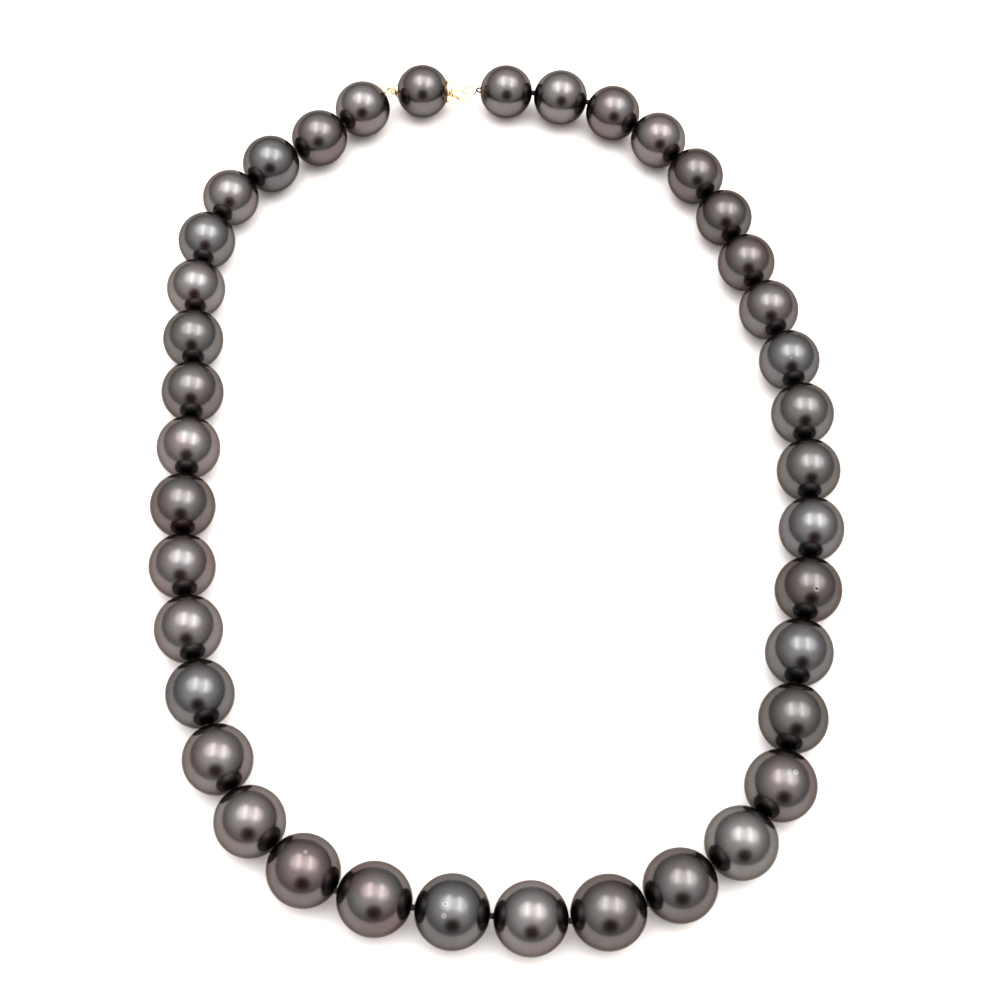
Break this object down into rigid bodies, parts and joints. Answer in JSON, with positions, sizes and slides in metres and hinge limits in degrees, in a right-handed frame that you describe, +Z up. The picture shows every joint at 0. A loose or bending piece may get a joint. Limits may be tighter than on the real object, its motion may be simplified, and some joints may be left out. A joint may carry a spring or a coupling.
{
  "type": "pearl necklace",
  "caption": "Graduated strand of dark grey round pearls, knotted on dark silk and closed by a push-in gold clasp set into a pearl; both arms swing open and the thumb tab presses.",
  "frame": {"origin": "centre of the necklace's footprint on the surface it lies on", "axes": "+Z up; +Y along the strand's length towards the clasp, so the largest pearls are at -Y; +X to the right when facing +Y"},
  "size_m": [0.1244, 0.1798, 0.012],
  "materials": {
    "rose_grey_nacre": "lustrous pearl nacre, rose grey",
    "silk": "dark twisted silk",
    "steel_grey_nacre": "lustrous pearl nacre, steel grey",
    "aubergine_nacre": "lustrous pearl nacre, aubergine",
    "silver_nacre": "lustrous pearl nacre, silver",
    "green_grey_nacre": "lustrous pearl nacre, green grey",
    "gold": "polished yellow gold",
    "charcoal_nacre": "lustrous pearl nacre, charcoal"
  },
  "bodies": {
    "front_pearl": {"pearl_20": "rose_grey_nacre", "silk_thread": "silk"},
    "pearl_19": {"pearl_19": "steel_grey_nacre"},
    "pearl_18": {"pearl_18": "aubergine_nacre"},
    "pearl_17": {"pearl_17": "aubergine_nacre"},
    "pearl_16": {"pearl_16": "silver_nacre"},
    "pearl_15": {"pearl_15": "rose_grey_nacre"},
    "pearl_14": {"pearl_14": "steel_grey_nacre"},
    "pearl_13": {"pearl_13": "silver_nacre"},
    "pearl_12": {"pearl_12": "aubergine_nacre"},
    "pearl_11": {"pearl_11": "aubergine_nacre"},
    "pearl_10": {"pearl_10": "rose_grey_nacre"},
    "pearl_09": {"pearl_09": "silver_nacre"},
    "pearl_08": {"pearl_08": "green_grey_nacre"},
    "pearl_07": {"pearl_07": "rose_grey_nacre"},
    "pearl_06": {"pearl_06": "steel_grey_nacre"},
    "pearl_05": {"pearl_05": "rose_grey_nacre"},
    "pearl_04": {"pearl_04": "steel_grey_nacre"},
    "pearl_03": {"pearl_03": "aubergine_nacre"},
    "pearl_02": {"pearl_02": "rose_grey_nacre"},
    "jump_ring": {"clasp_jump_ring": "gold"},
    "clasp_pearl": {"clasp_pearl": "silver_nacre", "clasp_housing": "gold", "clasp_collar": "gold", "clasp_end_cap": "gold"},
    "pearl_21": {"pearl_21": "silver_nacre"},
    "pearl_22": {"pearl_22": "silver_nacre"},
    "pearl_23": {"pearl_23": "green_grey_nacre"},
    "pearl_24": {"pearl_24": "rose_grey_nacre"},
    "pearl_25": {"pearl_25": "green_grey_nacre"},
    "pearl_26": {"pearl_26": "steel_grey_nacre"},
    "pearl_27": {"pearl_27": "charcoal_nacre"},
    "pearl_28": {"pearl_28": "steel_grey_nacre"},
    "pearl_29": {"pearl_29": "green_grey_nacre"},
    "pearl_30": {"pearl_30": "green_grey_nacre"},
    "pearl_31": {"pearl_31": "steel_grey_nacre"},
    "pearl_32": {"pearl_32": "rose_grey_nacre"},
    "pearl_33": {"pearl_33": "aubergine_nacre"},
    "pearl_34": {"pearl_34": "charcoal_nacre"},
    "pearl_35": {"pearl_35": "aubergine_nacre"},
    "pearl_36": {"pearl_36": "rose_grey_nacre"},
    "pearl_37": {"pearl_37": "aubergine_nacre"},
    "pearl_38": {"pearl_38": "silver_nacre"},
    "pearl_39": {"pearl_39": "silver_nacre"},
    "tongue": {"clasp_tongue": "gold"},
    "spring_leaf": {"clasp_spring_leaf": "gold"}
  },
  "joints": [
    {"name": "left_arm_opening", "type": "hinge", "parent": "front_pearl", "child": "pearl_19", "pos_m": [0.00158, -0.08367, 0.00592], "axis": [0, 0, 1], "range_deg": [0, 2.1], "deforming": ["silk_thread"]},
    {"name": "knot_18_19", "type": "hinge", "parent": "pearl_19", "child": "pearl_18", "pos_m": [-0.01074, -0.08273, 0.00595], "axis": [0, 0, 1], "range_deg": [0, 2.46]},
    {"name": "knot_17_18", "type": "hinge", "parent": "pearl_18", "child": "pearl_17", "pos_m": [-0.02287, -0.08041, 0.00592], "axis": [0, 0, 1], "range_deg": [0, 2.79]},
    {"name": "knot_16_17", "type": "hinge", "parent": "pearl_17", "child": "pearl_16", "pos_m": [-0.03351, -0.07433, 0.00585], "axis": [0, 0, 1], "range_deg": [0, 3.11]},
    {"name": "knot_15_16", "type": "hinge", "parent": "pearl_16", "child": "pearl_15", "pos_m": [-0.04112, -0.06499, 0.0058], "axis": [0, 0, 1], "range_deg": [0, 3.3]},
    {"name": "knot_14_15", "type": "hinge", "parent": "pearl_15", "child": "pearl_14", "pos_m": [-0.04573, -0.05386, 0.00577], "axis": [0, 0, 1], "range_deg": [0, 3.42]},
    {"name": "knot_13_14", "type": "hinge", "parent": "pearl_14", "child": "pearl_13", "pos_m": [-0.04918, -0.04242, 0.00577], "axis": [0, 0, 1], "range_deg": [0, 3.51]},
    {"name": "knot_12_13", "type": "hinge", "parent": "pearl_13", "child": "pearl_12", "pos_m": [-0.05198, -0.0307, 0.00575], "axis": [0, 0, 1], "range_deg": [0, 3.59]},
    {"name": "knot_11_12", "type": "hinge", "parent": "pearl_12", "child": "pearl_11", "pos_m": [-0.05385, -0.019, 0.0057], "axis": [0, 0, 1], "range_deg": [0, 3.63]},
    {"name": "knot_10_11", "type": "hinge", "parent": "pearl_11", "child": "pearl_10", "pos_m": [-0.05433, -0.00716, 0.00568], "axis": [0, 0, 1], "range_deg": [0, 3.63]},
    {"name": "knot_09_10", "type": "hinge", "parent": "pearl_10", "child": "pearl_09", "pos_m": [-0.05441, 0.00459, 0.00562], "axis": [0, 0, 1], "range_deg": [-2.81, 0]},
    {"name": "knot_08_09", "type": "hinge", "parent": "pearl_09", "child": "pearl_08", "pos_m": [-0.05536, 0.0162, 0.00555], "axis": [0, 0, 1], "range_deg": [-2.81, 0]},
    {"name": "knot_07_08", "type": "hinge", "parent": "pearl_08", "child": "pearl_07", "pos_m": [-0.05661, 0.02758, 0.00547], "axis": [0, 0, 1], "range_deg": [-2.79, 0]},
    {"name": "knot_06_07", "type": "hinge", "parent": "pearl_07", "child": "pearl_06", "pos_m": [-0.05668, 0.03893, 0.00543], "axis": [0, 0, 1], "range_deg": [-2.79, 0]},
    {"name": "knot_05_06", "type": "hinge", "parent": "pearl_06", "child": "pearl_05", "pos_m": [-0.05488, 0.05004, 0.00537], "axis": [0, 0, 1], "range_deg": [-2.86, 0]},
    {"name": "knot_04_05", "type": "hinge", "parent": "pearl_05", "child": "pearl_04", "pos_m": [-0.04961, 0.05986, 0.00543], "axis": [0, 0, 1], "range_deg": [-3.02, 0]},
    {"name": "knot_03_04", "type": "hinge", "parent": "pearl_04", "child": "pearl_03", "pos_m": [-0.04074, 0.0671, 0.00547], "axis": [0, 0, 1], "range_deg": [-3.28, 0]},
    {"name": "knot_02_03", "type": "hinge", "parent": "pearl_03", "child": "pearl_02", "pos_m": [-0.03166, 0.07391, 0.00545], "axis": [0, 0, 1], "range_deg": [-3.55, 0]},
    {"name": "jump_ring_swing", "type": "hinge", "parent": "pearl_02", "child": "jump_ring", "pos_m": [-0.02414, 0.08336, 0.0052], "axis": [0, 0, 1], "range_deg": [-3.78, 0]},
    {"name": "clasp_eye_swing", "type": "hinge", "parent": "jump_ring", "child": "clasp_pearl", "pos_m": [-0.0226, 0.08361, 0.0052], "axis": [0, 0, 1], "range_deg": [-3.84, 0]},
    {"name": "right_arm_opening", "type": "hinge", "parent": "front_pearl", "child": "pearl_21", "pos_m": [0.01382, -0.08405, 0.00595], "axis": [0, 0, 1], "range_deg": [-4.4, 0], "deforming": ["silk_thread"]},
    {"name": "knot_21_22", "type": "hinge", "parent": "pearl_21", "child": "pearl_22", "pos_m": [0.0259, -0.08103, 0.00598], "axis": [0, 0, 1], "range_deg": [-3.87, 0]},
    {"name": "knot_22_23", "type": "hinge", "parent": "pearl_22", "child": "pearl_23", "pos_m": [0.03653, -0.07475, 0.00595], "axis": [0, 0, 1], "range_deg": [-3.39, 0]},
    {"name": "knot_23_24", "type": "hinge", "parent": "pearl_23", "child": "pearl_24", "pos_m": [0.04583, -0.06662, 0.00595], "axis": [0, 0, 1], "range_deg": [-2.99, 0]},
    {"name": "knot_24_25", "type": "hinge", "parent": "pearl_24", "child": "pearl_25", "pos_m": [0.0503, -0.05511, 0.0059], "axis": [0, 0, 1], "range_deg": [-2.77, 0]},
    {"name": "knot_25_26", "type": "hinge", "parent": "pearl_25", "child": "pearl_26", "pos_m": [0.05134, -0.043, 0.00583], "axis": [0, 0, 1], "range_deg": [-2.73, 0]},
    {"name": "knot_26_27", "type": "hinge", "parent": "pearl_26", "child": "pearl_27", "pos_m": [0.05375, -0.03119, 0.0058], "axis": [0, 0, 1], "range_deg": [-2.6, 0]},
    {"name": "knot_27_28", "type": "hinge", "parent": "pearl_27", "child": "pearl_28", "pos_m": [0.05591, -0.01934, 0.00577], "axis": [0, 0, 1], "range_deg": [-2.46, 0]},
    {"name": "knot_28_29", "type": "hinge", "parent": "pearl_28", "child": "pearl_29", "pos_m": [0.05637, -0.0074, 0.00573], "axis": [0, 0, 1], "range_deg": [-2.42, 0]},
    {"name": "knot_29_30", "type": "hinge", "parent": "pearl_29", "child": "pearl_30", "pos_m": [0.05641, 0.00445, 0.0057], "axis": [0, 0, 1], "range_deg": [-2.42, 0]},
    {"name": "knot_30_31", "type": "hinge", "parent": "pearl_30", "child": "pearl_31", "pos_m": [0.05563, 0.01628, 0.00565], "axis": [0, 0, 1], "range_deg": [0, 3.96]},
    {"name": "knot_31_32", "type": "hinge", "parent": "pearl_31", "child": "pearl_32", "pos_m": [0.05295, 0.02762, 0.0056], "axis": [0, 0, 1], "range_deg": [0, 3.83]},
    {"name": "knot_32_33", "type": "hinge", "parent": "pearl_32", "child": "pearl_33", "pos_m": [0.0491, 0.03861, 0.00553], "axis": [0, 0, 1], "range_deg": [0, 3.7]},
    {"name": "knot_33_34", "type": "hinge", "parent": "pearl_33", "child": "pearl_34", "pos_m": [0.04553, 0.04938, 0.00543], "axis": [0, 0, 1], "range_deg": [0, 3.56]},
    {"name": "knot_34_35", "type": "hinge", "parent": "pearl_34", "child": "pearl_35", "pos_m": [0.04137, 0.05984, 0.00543], "axis": [0, 0, 1], "range_deg": [0, 3.39]},
    {"name": "knot_35_36", "type": "hinge", "parent": "pearl_35", "child": "pearl_36", "pos_m": [0.03505, 0.06926, 0.00545], "axis": [0, 0, 1], "range_deg": [0, 3.12]},
    {"name": "knot_36_37", "type": "hinge", "parent": "pearl_36", "child": "pearl_37", "pos_m": [0.02704, 0.07731, 0.00543], "axis": [0, 0, 1], "range_deg": [0, 2.82]},
    {"name": "knot_37_38", "type": "hinge", "parent": "pearl_37", "child": "pearl_38", "pos_m": [0.01704, 0.08246, 0.0054], "axis": [0, 0, 1], "range_deg": [0, 2.38]},
    {"name": "knot_38_39", "type": "hinge", "parent": "pearl_38", "child": "pearl_39", "pos_m": [0.00596, 0.08442, 0.00532], "axis": [0, 0, 1], "range_deg": [0, 1.89]},
    {"name": "tongue_swing", "type": "hinge", "parent": "pearl_39", "child": "tongue", "pos_m": [-0.00583, 0.08467, 0.0052], "axis": [0, 0, 1], "range_deg": [0, 1.41]},
    {"name": "thumb_tab_press", "type": "hinge", "parent": "tongue", "child": "spring_leaf", "pos_m": [-0.01749, 0.08352, 0.0052], "axis": [0, 0, 1], "range_deg": [0, 4], "stiffness_Nm_per_rad": 0.05, "springref_deg": -2.86}
  ],
  "couplings": [
    {"joint": "knot_18_19", "follows": "left_arm_opening", "ratio": 1.17},
    {"joint": "knot_17_18", "follows": "left_arm_opening", "ratio": 1.33},
    {"joint": "knot_16_17", "follows": "left_arm_opening", "ratio": 1.48},
    {"joint": "knot_15_16", "follows": "left_arm_opening", "ratio": 1.57},
    {"joint": "knot_14_15", "follows": "left_arm_opening", "ratio": 1.63},
    {"joint": "knot_13_14", "follows": "left_arm_opening", "ratio": 1.67},
    {"joint": "knot_12_13", "follows": "left_arm_opening", "ratio": 1.71},
    {"joint": "knot_11_12", "follows": "left_arm_opening", "ratio": 1.73},
    {"joint": "knot_10_11", "follows": "left_arm_opening", "ratio": 1.73},
    {"joint": "knot_09_10", "follows": "left_arm_opening", "ratio": -1.34},
    {"joint": "knot_08_09", "follows": "left_arm_opening", "ratio": -1.34},
    {"joint": "knot_07_08", "follows": "left_arm_opening", "ratio": -1.33},
    {"joint": "knot_06_07", "follows": "left_arm_opening", "ratio": -1.33},
    {"joint": "knot_05_06", "follows": "left_arm_opening", "ratio": -1.36},
    {"joint": "knot_04_05", "follows": "left_arm_opening", "ratio": -1.44},
    {"joint": "knot_03_04", "follows": "left_arm_opening", "ratio": -1.56},
    {"joint": "knot_02_03", "follows": "left_arm_opening", "ratio": -1.69},
    {"joint": "jump_ring_swing", "follows": "left_arm_opening", "ratio": -1.8},
    {"joint": "clasp_eye_swing", "follows": "left_arm_opening", "ratio": -1.83},
    {"joint": "knot_21_22", "follows": "right_arm_opening", "ratio": 0.88},
    {"joint": "knot_22_23", "follows": "right_arm_opening", "ratio": 0.77},
    {"joint": "knot_23_24", "follows": "right_arm_opening", "ratio": 0.68},
    {"joint": "knot_24_25", "follows": "right_arm_opening", "ratio": 0.63},
    {"joint": "knot_25_26", "follows": "right_arm_opening", "ratio": 0.62},
    {"joint": "knot_26_27", "follows": "right_arm_opening", "ratio": 0.59},
    {"joint": "knot_27_28", "follows": "right_arm_opening", "ratio": 0.56},
    {"joint": "knot_28_29", "follows": "right_arm_opening", "ratio": 0.55},
    {"joint": "knot_29_30", "follows": "right_arm_opening", "ratio": 0.55},
    {"joint": "knot_30_31", "follows": "right_arm_opening", "ratio": -0.9},
    {"joint": "knot_31_32", "follows": "right_arm_opening", "ratio": -0.87},
    {"joint": "knot_32_33", "follows": "right_arm_opening", "ratio": -0.84},
    {"joint": "knot_33_34", "follows": "right_arm_opening", "ratio": -0.81},
    {"joint": "knot_34_35", "follows": "right_arm_opening", "ratio": -0.77},
    {"joint": "knot_35_36", "follows": "right_arm_opening", "ratio": -0.71},
    {"joint": "knot_36_37", "follows": "right_arm_opening", "ratio": -0.64},
    {"joint": "knot_37_38", "follows": "right_arm_opening", "ratio": -0.54},
    {"joint": "knot_38_39", "follows": "right_arm_opening", "ratio": -0.43},
    {"joint": "tongue_swing", "follows": "right_arm_opening", "ratio": -0.32}
  ]
}
